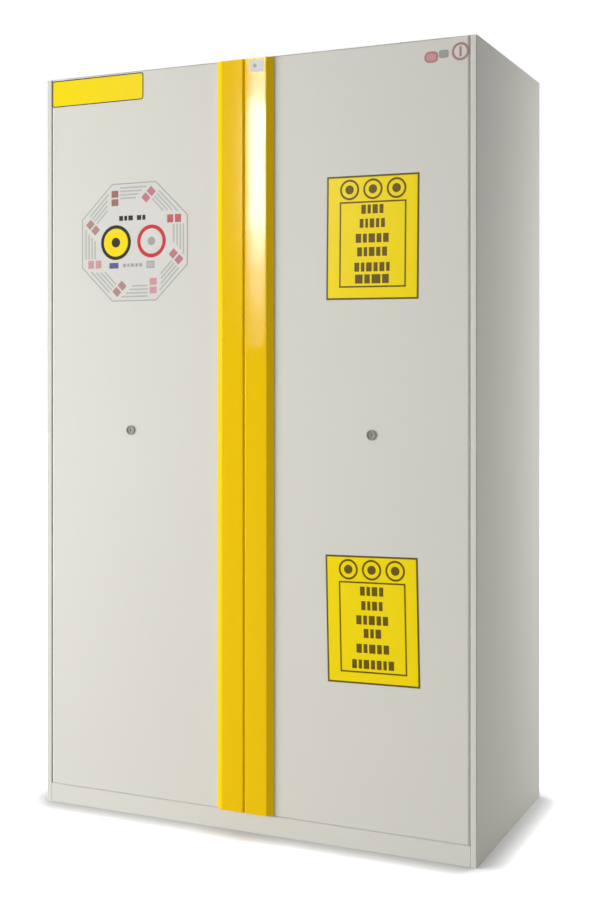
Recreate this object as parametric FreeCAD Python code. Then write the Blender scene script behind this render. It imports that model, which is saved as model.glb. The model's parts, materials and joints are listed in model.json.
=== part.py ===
# Two-door safety cabinet for reagents, with shelves on the left and pull-out trays on the right
# Millimetres: +X to the right, the doors face -Y, +Z up, and the origin is the middle of the underside
import FreeCAD, Part
import math
import os

V = FreeCAD.Vector

# Whole cabinet
width = 1200
body_depth = 600
height = 1950
sheet = 1.2                 # every steel sheet, unless a piece has its own
board = 60                  # fire board of every outer wall and of the middle wall
bend = 1.0                  # inside radius of a folded edge
overrun = 5                 # how far a cut runs past what it cuts

# Front
strip_width = 15            # front strip of each side casing
door_slab = 22              # door's face to the back of its outer slab
door_gap = 1.0              # gap on each edge of a door
frame_gap = 3               # slab to front frame
handle_rise = 13            # handle's face in front of the door's face
plinth_height = 50

# Pivots of the doors
hinge_inset = 6.5           # pivot axis behind the door's face and inside its edge
plate_thickness = 2.5
plate_length = 38
plate_start = 1.5           # straight part of the plate past the pivot axis
plate_nose = 4.8            # radius of the plate's round end
nose_flats = 24
pin_radius = 3.5
pin_running = 0.05
pin_reach = 30              # pin into its block
pin_end_gap = 0.3
block_length = 24
block_height = 36

# Door's raised inner part
plug_depth = 42
plug_clear = 5.2            # to the edge of the opening
plug_bend = 4

# Handle profile
handle_sheet = 1.5
handle_face = 61.3          # flat face, from the meeting edge to the fold
handle_flank = 21.8         # sloping side, measured across the door
handle_foot = 12            # flange that lies on the door
fold_radius = 5
edge_radius = 2.5           # inside the fold at the meeting edge
cap_thickness = 3

# Lock with its rack drive
lock_height = 1008
lock_place = 337.5          # from the middle of the cabinet
rosette_radius = 12.5
rosette_rise = 2
rosette_flats = 36
sleeve_half = 9.5           # half of the lock's square sleeve
sleeve_room = 0.3
barrel_radius = 8.5
barrel_running = 0.05
barrel_rise = 1.2
key_slot_length = 8
key_slot_width = 1.6
key_slot_depth = 5
journal_radius = 5
pinion_teeth = 18
gear_module = 1.25
pressure_angle = 20         # degrees
addendum = 1.1
dedendum = 1.5
flank_gap = 0.12            # taken off each flank
flank_points = 2
pinion_face = 8
pinion_setback = 10         # pinion behind the slab
rack_teeth = 8
rack_teeth_above = 1.5      # tooth pitches of the rack past the pinion's centre at rest
rod_width = 11
rod_thickness = 6
rod_tail = 4                # plain end past the last tooth
rod_setback = 1             # rod's tip inside the door at rest
case_half_width = 26.5
case_half_height = 45
case_depth = 22
channel_half_width = 27
guide_height = 18
guide_inset = 40            # guide from the end of the raised part
slot_clear = 1
keeper_thickness = 2
keeper_width = 26
keeper_length = 70

# Door seal
seal_width = 12
seal_thickness = 2.5

# Side casings
rear_lip = 22
front_return = 26

# Base
channel_width = 50
channel_sheet = 2.5
channel_lift = 14           # channel's underside above the floor
channel_front_place = 60    # centre of a channel from the front and back of the boards
foot_radius = 20
foot_flats = 16
foot_thickness = 8
foot_inset = 60             # from the cabinet's side
stud_radius = 6
stud_length = 38
thread_running = 0.05
plinth_lip = 20
pan_flange = 18

# Duct collars
spigot_radius = 50
spigot_back = 170           # axis from the back of the cabinet
spigot_rise = 45
spigot_flange = 74          # half of the square flange
spigot_fit = 0.2
duct_pocket = 52            # half of the square hole through the boards

# Earth terminal
earth_side = 80             # from the side of the cabinet
earth_back = 60
earth_radius = 4
earth_length = 24
earth_flange_radius = 8
earth_flange_height = 1.6
earth_flange_flats = 6

# Shelves of the left compartment
shelf_top_places = [560, 1000, 1440]
shelf_height = 30
shelf_lip = 14
shelf_front = 72            # shelf's front edge behind the front frame
shelf_back = 12             # shelf's back edge to the lining
shelf_side_gap = 1
upright_width = 25
upright_depth = 8
upright_inset = 70          # upright from the front and back edges of a shelf
upright_foot = 12           # uprights above the sump
upright_head = 60           # uprights short of the ceiling
slot_pitch = 180
slot_width = 12
slot_height = 5
clip_width = 11
clip_reach = 9
clip_height = 24
clip_thickness = 2

# Sump and its grid
sump_height = 90
sump_gap = 4
sump_lip = 10
sump_sheet = 1.5
grid_rows = 4
grid_columns = 5
grid_margin = 34
grid_slot_length = 50
grid_slot_width = 26
grid_edge = 12

# Trays of the right compartments
divider_thickness = 30
divider_middle = 1000
tray_hinge_gap = 100        # tray's side from the pivot axis of its door
tray_front_gap = 40         # tray's front behind the door's raised part
tray_back_gap = 32.4        # tray's back to the lining
tray_wall = 26
tray_front_wall = 52
tray_lift = 36              # tray's underside above the floor or the divider
tray_pitch = 430
tray_back_wall = 8
grip_length = 160
grip_depth = 12
tub_gap = 2
tub_height = 66
tub_wall = 3
tub_draft = 8
tub_corner = 24
tub_flats = 2               # flats round each corner
tub_rim = 6
tub_rim_thickness = 3
tub_ribs = 2
tub_rib_width = 8
tub_rib_height = 3

# Tray runners
runner_width = 13
runner_height = 35
runner_flange = 10.8
runner_lip = 6
slide_height = 24
slide_inset = 2
slide_thickness = 6.5
slide_neck = 13
slide_end = 24
runner_end = 3
filler_back = 14

# Air grilles
grille_width = 180
grille_height = 56
grille_thickness = 2
grille_louvres = 4
louvre_height = 5
louvre_margin = 14
grille_end = 40             # grille from the ends of its compartment

# Places that follow from the sizes above
half = width / 2
front_y = (handle_rise - body_depth) / 2
back_y = front_y + body_depth
slab_y = front_y + door_slab
frame_y = slab_y + frame_gap
board_front = frame_y + sheet
casing_back = back_y - sheet
board_back = casing_back - sheet
wall = sheet + board + sheet
inner_x = half - wall
inner_mid = board / 2 + sheet
inner_back = board_back - board - sheet
pan_top = plinth_height + sheet
casing_top = height - sheet
floor_z = pan_top + board + sheet
ceiling_z = casing_top - board - sheet
mid_z = (plinth_height + height) / 2
door_edge = half - strip_width - door_gap
door_bottom = pan_top + door_gap
door_top = casing_top - door_gap
hinge_x = door_edge - hinge_inset
hinge_y = front_y + hinge_inset
plug_y = slab_y + plug_depth
plug_outer = inner_x - plug_clear
plug_inner = inner_mid + plug_clear
plug_bottom = floor_z + plug_clear
plug_top = ceiling_z - plug_clear
pitch_radius = gear_module * pinion_teeth / 2
tooth_pitch = math.pi * gear_module
rod_travel = pitch_radius * math.pi / 2
rod_inner = pitch_radius + dedendum
rod_outer = rod_inner + rod_width
pinion_y = slab_y + pinion_setback
rod_y = pinion_y + (pinion_face - rod_thickness) / 2
rod_pocket = rod_travel - plug_clear - rod_setback + slot_clear
shelf_y = frame_y + shelf_front
shelf_end = inner_back - shelf_back
tray_left = inner_mid + runner_width
tray_right = hinge_x - tray_hinge_gap
tray_y = plug_y + tray_front_gap
tray_depth = inner_back - tray_back_gap - tray_y
divider_bottom = divider_middle - divider_thickness / 2
divider_top = divider_middle + divider_thickness / 2
tray_places = [floor_z + tray_lift, floor_z + tray_lift + tray_pitch,
               divider_top + tray_lift, divider_top + tray_lift + tray_pitch]
spigot_y = back_y - spigot_back
spigot_place = (inner_x + inner_mid) / 2


# Basic shapes

def box(x0, x1, y0, y1, z0, z1):
    return Part.makeBox(x1 - x0, y1 - y0, z1 - z0, V(x0, y0, z0))


def rod_z(radius, x, y, z0, z1):
    return Part.makeCylinder(radius, z1 - z0, V(x, y, z0), V(0, 0, 1))


def rod_along_y(radius, x, z, y0, y1):
    return Part.makeCylinder(radius, y1 - y0, V(x, y0, z), V(0, 1, 0))


def cut(shape, *tools):
    for tool in tools:
        shape = shape.cut(tool)
    return shape


def fuse(shape, *others):
    for other in others:
        shape = shape.fuse(other)
    return shape.removeSplitter()


def across(shape):
    # The same piece on the other side of the cabinet
    return shape.mirror(V(0, 0, 0), V(1, 0, 0))


def upside(shape):
    # The same piece at the other end of the doors
    return shape.mirror(V(0, 0, mid_z), V(0, 0, 1))


def plan(level):
    return lambda u, v: V(u, v, level)


def profile_across(x):
    return lambda u, v: V(x, u, v)


def profile_along(y):
    return lambda u, v: V(u, y, v)


def prism(radius, flats, u, v, place, along):
    # A bar of so many flats, with its corners on the radius
    points = []
    for i in range(flats + 1):
        turn = 2 * math.pi * i / flats
        points.append(place(u + radius * math.cos(turn), v + radius * math.sin(turn)))
    return Part.Face(Part.makePolygon(points)).extrude(along)


def rounded_face(points, radii, place):
    # Straight runs through the points, with a tangent arc of its own radius at each
    starts, middles, ends = [], [], []
    for i, point in enumerate(points):
        here = V(*point, 0)
        back = (V(*points[i - 1], 0) - here).normalize()
        ahead = (V(*points[(i + 1) % len(points)], 0) - here).normalize()
        half_angle = back.getAngle(ahead) / 2
        reach = radii[i] / math.tan(half_angle)
        starts.append(here + back * reach)
        ends.append(here + ahead * reach)
        toward = (back + ahead).normalize() if radii[i] else ahead
        middles.append(here + toward * (radii[i] / math.sin(half_angle) - radii[i]))
    edges = []
    for i in range(len(points)):
        p, q, r = [place(c.x, c.y) for c in (starts[i], middles[i], ends[i])]
        after = starts[(i + 1) % len(points)]
        if radii[i]:
            edges.append(Part.Arc(p, q, r).toShape())
        edges.append(Part.LineSegment(r, place(after.x, after.y)).toShape())
    return Part.Face(Part.Wire(edges))


def folded_sheet(path, bends, thickness, place, along):
    # The path is one face of the sheet, whose thickness lies on the left of it
    near = [V(u, v, 0) for u, v in path]
    normals = []
    for a, b in zip(near, near[1:]):
        run = (b - a).normalize()
        normals.append(V(-run.y, run.x, 0))
    far, near_radii, far_radii = [], [], []
    for i, point in enumerate(near):
        first = normals[max(i - 1, 0)]
        second = normals[min(i, len(normals) - 1)]
        far.append(point + (first + second) * (thickness / (1 + first.dot(second))))
        left_turn = first.cross(second).z > 0
        inside = bends[i]
        outside = inside + thickness if inside else 0
        near_radii.append(outside if left_turn else inside)
        far_radii.append(inside if left_turn else outside)
    outline = [(p.x, p.y) for p in near + far[::-1]]
    return rounded_face(outline, near_radii + far_radii[::-1], place).extrude(along)


def save(name, *shapes):
    shape = shapes[0] if len(shapes) == 1 else Part.makeCompound(list(shapes))
    shape.exportStep("parts/" + name + ".step")


# Casing

def side_casing():
    inside = -half + strip_width
    path = [(-half + rear_lip, back_y), (-half, back_y), (-half, front_y), (inside, front_y),
            (inside, front_y + front_return)]
    return folded_sheet(path, [0, bend, bend, bend, 0], sheet, plan(0), V(0, 0, casing_top))


def top_casing():
    lid = box(-half, half, front_y, back_y, casing_top, height)
    for x in (-spigot_place, spigot_place):
        lid = lid.cut(rod_z(spigot_radius + spigot_fit, x, spigot_y, casing_top - overrun, height + overrun))
    return lid


def back_casing():
    reach = half - sheet - bend
    return box(-reach, reach, board_back, casing_back, pan_flange, casing_top)


def base_pan():
    reach = half - strip_width
    pan = fuse(box(-half + sheet, half - sheet, board_front, board_back, plinth_height, pan_top),
               box(-reach, reach, front_y, board_front, plinth_height, pan_top))
    front = box(-reach, reach, board_front, board_front + sheet, plinth_height - pan_flange, plinth_height)
    back = box(-reach, reach, board_back - sheet, board_back, plinth_height - pan_flange, plinth_height)
    return fuse(pan, front, back)


def base_channels():
    pieces = []
    for y in (board_front + channel_front_place, board_back - channel_front_place):
        low = y - channel_width / 2
        high = y + channel_width / 2
        path = [(high, plinth_height), (low, plinth_height), (low, channel_lift), (high, channel_lift)]
        start = -half + sheet
        channel = folded_sheet(path, [0, 0, 0, 0], channel_sheet, profile_across(start),
                               V(width - 2 * sheet, 0, 0))
        for x in (-half + foot_inset, half - foot_inset):
            channel = channel.cut(prism(stud_radius + thread_running, foot_flats, x, y, plan(0),
                                        V(0, 0, channel_lift + channel_sheet + overrun)))
        pieces.append(channel)
    return pieces


def levelling_feet():
    feet = []
    for x in (-half + foot_inset, half - foot_inset):
        for y in (board_front + channel_front_place, board_back - channel_front_place):
            pad = prism(foot_radius, foot_flats, x, y, plan(0), V(0, 0, foot_thickness))
            stud = prism(stud_radius, foot_flats, x, y, plan(0), V(0, 0, stud_length))
            feet.append(fuse(pad, stud))
    return feet


def plinth_panel():
    reach = half - strip_width
    path = [(board_front, plinth_height), (front_y, plinth_height), (front_y, 0), (front_y + plinth_lip, 0)]
    return folded_sheet(path, [0, bend, bend, 0], sheet, profile_across(-reach), V(2 * reach, 0, 0))


def rod_hole(x, low, high):
    # Clearance for a lock rod, which may come through at the top or the bottom
    grow = slot_clear
    return box(x - rod_width / 2 - grow, x + rod_width / 2 + grow,
               rod_y - grow, rod_y + rod_thickness + grow, low, high)


def rod_middles():
    # Where the four rods come out: x, and whether at the top
    offset = (rod_inner + rod_outer) / 2
    return [(-lock_place - offset, True), (-lock_place + offset, False),
            (lock_place + offset, True), (lock_place - offset, False)]


def insulation_boards():
    side = box(-half + sheet, -inner_x - sheet, board_front, board_back, pan_top, casing_top)
    reach = inner_x + sheet
    bottom = box(-reach, reach, board_front, board_back, pan_top, floor_z - sheet)
    low = ceiling_z + sheet
    duct_front = spigot_y - duct_pocket
    duct_back = spigot_y + duct_pocket
    top_front = box(-reach, reach, board_front, duct_front, low, casing_top)
    top_back = box(-reach, reach, duct_back, board_back, low, casing_top)
    inner = spigot_place - duct_pocket
    outer = spigot_place + duct_pocket
    top_outer = box(-reach, -outer, duct_front, duct_back, low, casing_top)
    top_middle = box(-inner, inner, duct_front, duct_back, low, casing_top)
    back = box(-reach, reach, inner_back + sheet, board_back, floor_z - sheet, low)
    middle = box(-board / 2, board / 2, board_front, inner_back + sheet, floor_z - sheet, low)
    for x, at_top in rod_middles():
        if at_top:
            top_front = top_front.cut(rod_hole(x, low - overrun, ceiling_z + rod_pocket))
        else:
            bottom = bottom.cut(rod_hole(x, floor_z - rod_pocket, floor_z + overrun))
    return [side, across(side), bottom, top_front, top_back, top_outer, across(top_outer), top_middle,
            back, middle]


def front_frame():
    reach = half - strip_width
    frame = box(-reach, reach, frame_y, board_front, pan_top, casing_top)
    opening = box(-inner_x, -inner_mid, frame_y - overrun, board_front + overrun, floor_z, ceiling_z)
    return cut(frame, opening, across(opening))


def frame_seals():
    rings = []
    ring = box(-inner_x - seal_width, -inner_mid + seal_width, frame_y - seal_thickness, frame_y,
               floor_z - seal_width, ceiling_z + seal_width)
    ring = ring.cut(box(-inner_x, -inner_mid, frame_y - seal_thickness - overrun, frame_y + overrun,
                        floor_z, ceiling_z))
    rings.append(ring)
    rings.append(across(ring))
    return rings


def liner(side):
    shell = box(-inner_x - sheet, -inner_mid + sheet, board_front, inner_back + sheet,
                floor_z - sheet, ceiling_z + sheet)
    room = box(-inner_x, -inner_mid, board_front - overrun, inner_back, floor_z, ceiling_z)
    duct = rod_z(spigot_radius + spigot_fit, -spigot_place, spigot_y, ceiling_z - overrun, casing_top)
    shell = cut(shell, room, duct)
    if side > 0:
        shell = across(shell)
    for x, at_top in rod_middles():
        if x * side > 0:
            edge = ceiling_z if at_top else floor_z
            shell = shell.cut(rod_hole(x, edge - overrun, edge + overrun))
    return shell


def exhaust_spigots():
    pieces = []
    for side in (-1, 1):
        x = side * spigot_place
        tube = rod_z(spigot_radius, x, spigot_y, ceiling_z, height + spigot_rise)
        plate = box(x - spigot_flange, x + spigot_flange, spigot_y - spigot_flange, spigot_y + spigot_flange,
                    height, height + sheet)
        bore = rod_z(spigot_radius - sheet, x, spigot_y, ceiling_z - overrun, height + spigot_rise + overrun)
        pieces.append(fuse(tube, plate).cut(bore))
    return pieces


def earth_terminal():
    # A flanged stud, welded to the lid
    x, y = -half + earth_side, back_y - earth_back
    flange = prism(earth_flange_radius, earth_flange_flats, x, y, plan(height), V(0, 0, earth_flange_height))
    return fuse(flange, rod_z(earth_radius, x, y, height, height + earth_length))


# Pivots and keepers, which stay on the casing

def hinge_plates():
    # A plate with a round nose about the pin, so that the door's corner turns round it
    low = casing_top - plate_thickness
    near = hinge_y - plate_nose * math.cos(math.pi / nose_flats)
    nose = prism(plate_nose, nose_flats, -hinge_x, hinge_y, plan(low), V(0, 0, plate_thickness))
    plate = fuse(box(-hinge_x + plate_start, -hinge_x + plate_length, near, frame_y, low, casing_top), nose)
    plate = plate.cut(rod_z(pin_radius, -hinge_x, hinge_y, low - overrun, casing_top + overrun))
    return [plate, across(plate), upside(plate), across(upside(plate))]


def pivot_pins():
    end = casing_top - plate_thickness - pin_reach
    pin = rod_z(pin_radius, -hinge_x, hinge_y, end, casing_top)
    return [pin, across(pin), upside(pin), across(upside(pin))]


def keeper_plates():
    plates = []
    for x, at_top in rod_middles():
        low = ceiling_z - keeper_thickness if at_top else floor_z
        plate = box(x - keeper_length / 2, x + keeper_length / 2, board_front, board_front + keeper_width,
                    low, low + keeper_thickness)
        plates.append(plate.cut(rod_hole(x, low - overrun, low + keeper_thickness + overrun)))
    return plates


# Left compartment

def shelf(top):
    left = -inner_x + upright_depth + shelf_side_gap
    right = -inner_mid - upright_depth - shelf_side_gap
    pan = box(left, right, shelf_y, shelf_end, top - shelf_height, top)
    inside = box(left + sheet, right - sheet, shelf_y + sheet, shelf_end - sheet,
                 top - shelf_height - overrun, top - sheet)
    lip = box(left + sheet, right - sheet, shelf_y + sheet, shelf_y + shelf_lip,
              top - shelf_height, top - shelf_height + sheet)
    lip_back = box(left + sheet, right - sheet, shelf_end - shelf_lip, shelf_end - sheet,
                   top - shelf_height, top - shelf_height + sheet)
    return fuse(pan.cut(inside), lip, lip_back)


def upright_places():
    return [shelf_y + upright_inset, shelf_end - upright_inset]


def shelf_uprights():
    low = floor_z + sump_height + upright_foot
    high = ceiling_z - upright_head
    bars = []
    for y in upright_places():
        wall_x = -inner_x
        face_x = wall_x + upright_depth
        path = [(wall_x, y - upright_width / 2), (face_x, y - upright_width / 2),
                (face_x, y + upright_width / 2), (wall_x, y + upright_width / 2)]
        bar = folded_sheet(path, [0, 0, 0, 0], sheet, plan(low), V(0, 0, high - low))
        slots = []
        for i in range(1, int((high - low) / slot_pitch)):
            z = low + i * slot_pitch
            slots.append(box(face_x - sheet - overrun / 2, face_x + overrun, y - slot_width / 2,
                             y + slot_width / 2, z - slot_height / 2, z + slot_height / 2))
        bar = bar.cut(Part.makeCompound(slots))
        other = bar.mirror(V(-(inner_x + inner_mid) / 2, 0, 0), V(1, 0, 0))
        bars += [bar, other]
    return bars


def shelf_clips():
    clips = []
    for top in shelf_top_places:
        seat = top - shelf_height
        for y in upright_places():
            face_x = -inner_x + upright_depth
            path = [(face_x + clip_reach, seat), (face_x, seat), (face_x, seat - clip_height)]
            clip = folded_sheet(path, [0, 0, 0], clip_thickness, profile_along(y - clip_width / 2),
                                V(0, clip_width, 0))
            clips += [clip, clip.mirror(V(-(inner_x + inner_mid) / 2, 0, 0), V(1, 0, 0))]
    return clips


def sump_room():
    return -inner_x + sump_gap, -inner_mid - sump_gap, shelf_y - sump_gap, inner_back - sump_gap


def sump_tray():
    left, right, near, far = sump_room()
    top = floor_z + sump_height
    outer = box(left + sump_lip, right - sump_lip, near + sump_lip, far - sump_lip, floor_z, top)
    rim = box(left, right, near, far, top - sump_sheet, top)
    room = box(left + sump_lip + sump_sheet, right - sump_lip - sump_sheet,
               near + sump_lip + sump_sheet, far - sump_lip - sump_sheet, floor_z + sump_sheet, top + overrun)
    return fuse(outer, rim).cut(room)


def sump_grid():
    left, right, near, far = sump_room()
    top = floor_z + sump_height
    left, right, near, far = left + grid_edge, right - grid_edge, near + grid_edge, far - grid_edge
    plate = box(left, right, near, far, top, top + sump_sheet)
    slots = []
    step_x = (right - left - 2 * grid_margin) / (grid_columns - 1)
    step_y = (far - near - 2 * grid_margin) / (grid_rows - 1)
    for i in range(grid_columns):
        for j in range(grid_rows):
            x = left + grid_margin + i * step_x
            y = near + grid_margin + j * step_y
            slots.append(box(x - grid_slot_length / 2, x + grid_slot_length / 2, y - grid_slot_width / 2,
                             y + grid_slot_width / 2, top - overrun, top + overrun))
    return plate.cut(Part.makeCompound(slots))


# Right compartments

def divider_panel():
    points = [(plug_y + sheet, divider_bottom), (inner_back, divider_bottom),
              (inner_back, divider_top), (plug_y + sheet, divider_top)]
    nose = divider_thickness / 4
    face = rounded_face(points, [nose, 0, 0, nose], profile_across(inner_mid))
    return face.extrude(V(inner_x - inner_mid, 0, 0))


def filler_panels():
    panels = []
    side = tray_right + runner_width
    far = tray_y + tray_depth + filler_back
    near = tray_y
    path = [(inner_x, far), (side, far), (side, near), (inner_x, near)]
    for low, high in ((floor_z, divider_bottom), (divider_top, ceiling_z)):
        panels.append(folded_sheet(path, [0] * 4, sheet, plan(low), V(0, 0, high - low)))
    return panels


def runner_middle(level):
    return level + tray_wall / 2


def mirror_in_tray(shape):
    return shape.mirror(V((tray_left + tray_right) / 2, 0, 0), V(1, 0, 0))


def runner_channels():
    channels = []
    for level in tray_places:
        z = runner_middle(level)
        low, high = z - runner_height / 2, z + runner_height / 2
        wall_x = inner_mid
        flange_x = wall_x + runner_flange
        path = [(flange_x, high - runner_lip), (flange_x, high), (wall_x, high), (wall_x, low),
                (flange_x, low), (flange_x, low + runner_lip)]
        near = tray_y + runner_end
        channel = folded_sheet(path, [0] * 6, sheet, profile_along(near), V(0, tray_depth - runner_end, 0))
        channels += [channel, mirror_in_tray(channel)]
    return channels


def tray_slide(level):
    # The side wall of a tray with the bar that runs inside the channel, joined by a neck between its lips
    z = runner_middle(level)
    inner = inner_mid + slide_inset
    face = inner + slide_thickness
    half_bar, half_neck = slide_height / 2, slide_neck / 2
    near, far = tray_y + slide_end, tray_y + tray_depth - slide_end
    bar = box(inner, face, near, far, z - half_bar, z + half_bar)
    neck = box(face, tray_left, near, far, z - half_neck, z + half_neck)
    side = box(tray_left, tray_left + sheet, tray_y + sheet, tray_y + tray_depth,
               level + sheet, level + tray_wall)
    return fuse(bar, neck, side)


def tray_carrier(level):
    # Floor with a low back rim, front with a grip folded out of its top edge, and a slide on each side
    far = tray_y + tray_depth
    floor = fuse(box(tray_left, tray_right, tray_y, far, level, level + sheet),
                 box(tray_left + sheet, tray_right - sheet, far - sheet, far, level, level + tray_back_wall))
    middle = (tray_left + tray_right) / 2
    top = level + tray_front_wall
    front = fuse(box(tray_left, tray_right, tray_y, tray_y + sheet, level + sheet, top),
                 box(middle - grip_length / 2, middle + grip_length / 2, tray_y - grip_depth, tray_y,
                     top - sheet, top))
    slide = tray_slide(level)
    return [floor, front, slide, mirror_in_tray(slide)]


def tub_ring(inset, corner, level):
    # A rectangle with corners of short flats
    near = tray_y + sheet + tub_gap + inset + corner
    far = tray_y + tray_depth - sheet - tub_gap - inset - corner
    left = tray_left + sheet + tub_gap + inset + corner
    right = tray_right - sheet - tub_gap - inset - corner
    points = []
    for quarter, (x, y) in enumerate(((right, far), (left, far), (left, near), (right, near))):
        for i in range(tub_flats + 1):
            turn = math.pi / 2 * (quarter + i / tub_flats)
            points.append(V(x + corner * math.cos(turn), y + corner * math.sin(turn), level))
    return Part.makePolygon(points + points[:1])


def tray_tub(level):
    # A moulded tub with sloping walls, a rim and raised ribs across its floor
    low = level + sheet
    high = low + tub_height
    outer = Part.makeLoft([tub_ring(tub_draft + tub_rim, tub_corner, low),
                           tub_ring(tub_rim, tub_corner, high)], True, True)
    inner = Part.makeLoft([tub_ring(tub_draft + tub_rim + tub_wall, tub_corner - tub_wall, low + tub_wall),
                           tub_ring(tub_rim + tub_wall, tub_corner - tub_wall, high)], True, True)
    rim = Part.Face(tub_ring(0, tub_corner, high - tub_rim_thickness)).extrude(V(0, 0, tub_rim_thickness))
    tub = fuse(outer, rim).cut(inner)
    left, right = tray_left + tub_corner + tub_draft + tub_rim, tray_right - tub_corner - tub_draft - tub_rim
    step = tray_depth / (tub_ribs + 1)
    for i in range(tub_ribs):
        y = tray_y + step * (i + 1)
        tub = tub.fuse(box(left, right, y - tub_rib_width / 2, y + tub_rib_width / 2,
                           low + tub_wall / 2, low + tub_wall + tub_rib_height))
    return tub


def air_grilles():
    grilles = []
    left_x = -(inner_x + inner_mid) / 2
    right_x = (tray_left + tray_right) / 2
    under = grille_end + grille_height
    places = [(left_x, floor_z + sump_height + grille_end), (left_x, ceiling_z - under),
              (right_x, floor_z + tray_lift + grille_end), (right_x, divider_bottom - under),
              (right_x, divider_top + tray_lift + grille_end), (right_x, ceiling_z - under)]
    for x, low in places:
        plate = box(x - grille_width / 2, x + grille_width / 2, inner_back - grille_thickness, inner_back,
                    low, low + grille_height)
        step = (grille_height - louvre_height) / (grille_louvres + 1)
        for i in range(grille_louvres):
            z = low + step * (i + 1)
            plate = plate.cut(box(x - grille_width / 2 + louvre_margin, x + grille_width / 2 - louvre_margin,
                                  inner_back - grille_thickness - overrun, inner_back + overrun,
                                  z, z + louvre_height))
        grilles.append(plate)
    return grilles


# Doors, made for the left side

def slab_plan(inset, depth_y):
    # Plan of the door's slab: its front corner on the hinge side is round about the pivot
    left, right = -door_edge + inset, -door_gap - inset
    near = front_y + inset
    points = [(left, depth_y), (left, near), (right, near), (right, depth_y)]
    return points, [0, hinge_inset - inset, bend + sheet - inset, 0]


def hinge_notch(inset):
    # Room for the hinge plate in the door's top, behind the front sheet, which stays whole
    inner = -hinge_x + plate_length + door_gap
    low = casing_top - plate_thickness - door_gap - inset
    if inset:
        return box(-half, inner + inset, front_y - overrun, slab_y + overrun, low, height)
    behind = box(-half, inner, hinge_y, slab_y + overrun, low, height)
    ahead = box(-hinge_x, inner, front_y + sheet, hinge_y, low, height)
    return fuse(behind, ahead, rod_z(hinge_inset - sheet, -hinge_x, hinge_y, low, height))


def slab_block(inset, depth_y):
    points, radii = slab_plan(inset, depth_y)
    rise = V(0, 0, door_top - door_bottom - 2 * inset)
    block = rounded_face(points, radii, plan(door_bottom + inset)).extrude(rise)
    notch = hinge_notch(inset)
    return cut(block, notch, upside(notch))


def door_skin(lock_x):
    skin = slab_block(0, slab_y).cut(slab_block(sheet, slab_y + overrun))
    reach = pin_radius + slot_clear
    pin = box(-hinge_x - reach, -hinge_x + reach, hinge_y - reach, hinge_y + reach,
              door_top - block_height, height)
    return cut(skin, pin, upside(pin), square_sleeve(lock_x, sleeve_room))


def block_room():
    room = box(-door_edge, -door_edge + sheet + block_length, front_y, slab_y - sheet,
               door_top - sheet - plate_thickness - block_height, height)
    return room


def pivot_blocks():
    block = slab_block(sheet, slab_y - sheet).common(block_room())
    bore_end = casing_top - plate_thickness - pin_reach - pin_end_gap
    block = block.cut(rod_z(pin_radius + pin_running, -hinge_x, hinge_y, bore_end, height))
    return [block, upside(block)]


def door_insulation(lock_x):
    slab = cut(slab_block(sheet, slab_y - sheet), block_room(), upside(block_room()),
               square_sleeve(lock_x, sleeve_room))
    channel_left, channel_right = lock_x - channel_half_width, lock_x + channel_half_width
    near, far = slab_y - sheet, plug_y - sheet
    low, high = plug_bottom + sheet, plug_top - sheet
    corner = plug_bend - sheet
    left = rounded_face([(-plug_outer + sheet, near), (channel_left, near), (channel_left, far),
                         (-plug_outer + sheet, far)], [0, 0, 0, corner], plan(low))
    right = rounded_face([(channel_right, near), (-plug_inner - sheet, near), (-plug_inner - sheet, far),
                          (channel_right, far)], [0, 0, corner, 0], plan(low))
    rise = V(0, 0, high - low)
    return [slab, left.extrude(rise), right.extrude(rise)]


def plug_block(inset, near):
    far = plug_y - inset
    left, right = -plug_outer + inset, -plug_inner - inset
    points = [(left, near), (right, near), (right, far), (left, far)]
    corner = plug_bend - inset
    low, high = plug_bottom + inset, plug_top - inset
    return rounded_face(points, [0, 0, corner, corner], plan(low)).extrude(V(0, 0, high - low))


def door_inner_panel(lock_x):
    flange = slab_block(sheet, slab_y).common(box(-half, 0, slab_y - sheet, slab_y, 0, height))
    panel = fuse(flange, plug_block(0, slab_y - sheet / 2)).cut(plug_block(sheet, slab_y - sheet - overrun))
    offset = (rod_inner + rod_outer) / 2
    return cut(panel, rod_hole(lock_x - offset, plug_top - overrun, plug_top + overrun),
               rod_hole(lock_x + offset, plug_bottom - overrun, plug_bottom + overrun))


def handle_path():
    # Across the door, from the flange at the outer foot round to the flange at the meeting edge
    edge = -door_gap
    fold = edge - handle_face
    foot = fold - handle_flank
    crest = front_y - handle_rise
    return [(foot + handle_foot, front_y), (foot, front_y), (fold, crest), (edge, crest),
            (edge, front_y), (edge - handle_foot, front_y)]


def door_handle():
    bends = [0, bend / 2, fold_radius, edge_radius, bend, 0]
    rise = V(0, 0, door_top - door_bottom)
    return folded_sheet(handle_path(), bends, handle_sheet, plan(door_bottom), rise)


def handle_caps():
    # The caps fill the profile's inside, between its flanges and its face
    edge = -door_gap - handle_sheet
    fold_turn = math.atan(handle_rise / handle_flank)
    fold = -door_gap - handle_face + handle_sheet * math.tan(fold_turn / 2)
    crest = front_y - handle_rise + handle_sheet
    seat = front_y - handle_sheet
    foot = fold - (seat - crest) / math.tan(fold_turn)
    points = [(edge, seat), (edge, crest), (fold, crest), (foot, seat)]
    radii = [bend, edge_radius, fold_radius, bend / 2]
    cap = rounded_face(points, radii, plan(door_top - cap_thickness)).extrude(V(0, 0, cap_thickness))
    return [cap, upside(cap)]


# Lock, made for the left door

def square_sleeve(lock_x, grow):
    reach = sleeve_half + grow
    return box(lock_x - reach, lock_x + reach, front_y, slab_y, lock_height - reach, lock_height + reach)


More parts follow.
